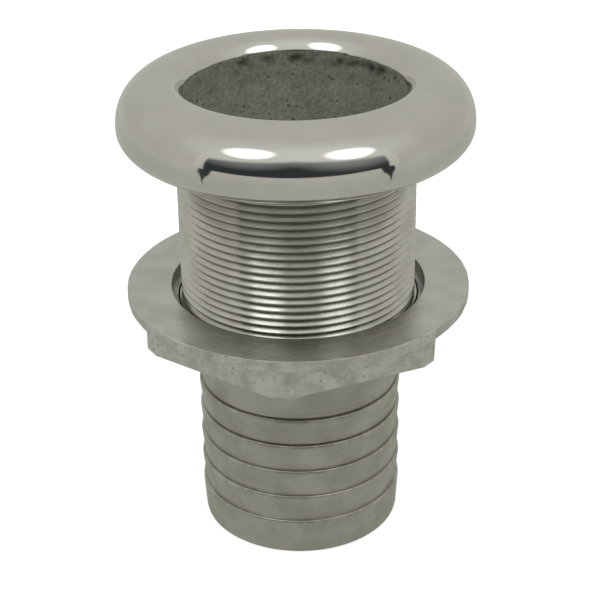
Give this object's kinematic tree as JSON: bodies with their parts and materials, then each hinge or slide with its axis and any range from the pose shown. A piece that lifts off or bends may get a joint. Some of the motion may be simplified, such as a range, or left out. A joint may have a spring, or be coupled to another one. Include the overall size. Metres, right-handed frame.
{
  "type": "thru hull fitting",
  "caption": "Mushroom-flange thru hull fitting with a threaded shank, a screw-on flanged hex nut and a barbed hose tail.",
  "frame": {"origin": "centre of the flange's underside, where it seats on the hull", "axes": "+Z along the waterway, to the outside of the hull; the hose tail points to -Z"},
  "size_m": [0.0884, 0.0884, 0.1231],
  "materials": {
    "body_steel": "stainless steel: mirror polished flange, cut thread, satin hose tail, rough cast waterway",
    "nut_steel": "stainless steel: as cast, machined on the hull face and in the thread"
  },
  "bodies": {
    "fitting": {"fitting_body": "body_steel"},
    "nut_rim": {"nut_flange": "nut_steel"},
    "nut": {"nut_hex": "nut_steel"}
  },
  "joints": [
    {"name": "nut_travel", "type": "slide", "parent": "fitting", "child": "nut_rim", "axis": [0, 0, 1], "range_m": [-0.008, 0.0384]},
    {"name": "nut_turn", "type": "hinge", "parent": "nut_rim", "child": "nut", "pos_m": [0, 0, -0.0455], "axis": [0, 0, 1], "range_deg": [-1440, 6894]}
  ],
  "couplings": [
    {"joint": "nut_travel", "follows": "nut_turn", "m_per_rad": 0.00031831}
  ]
}
